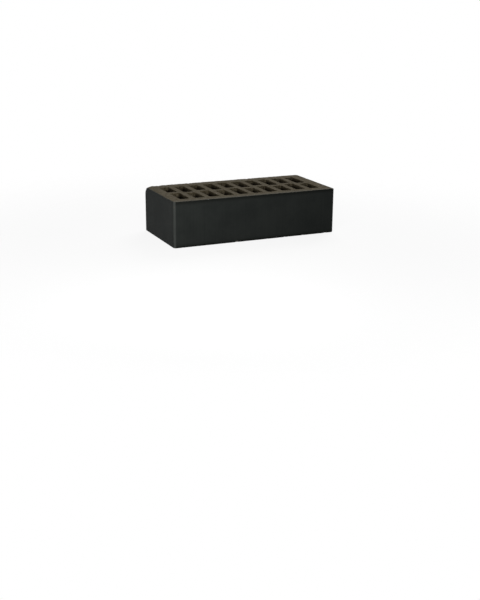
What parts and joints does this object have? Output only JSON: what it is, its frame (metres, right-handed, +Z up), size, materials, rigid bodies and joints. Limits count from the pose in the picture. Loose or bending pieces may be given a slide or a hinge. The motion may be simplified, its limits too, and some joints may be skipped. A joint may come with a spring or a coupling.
{
  "type": "perforated clay brick",
  "caption": "Black perforated clay facing brick with smooth side faces and two staggered rows of rectangular through slots.",
  "frame": {"origin": "middle of the lower bed face, on which the brick lies", "axes": "+X along the brick's length, +Y across its width from the front stretcher face to the back one, +Z up through the slots"},
  "size_m": [0.25, 0.12, 0.065],
  "materials": {
    "black_clay": "matte"
  },
  "bodies": {
    "root": {"brick": "black_clay"}
  },
  "joints": []
}
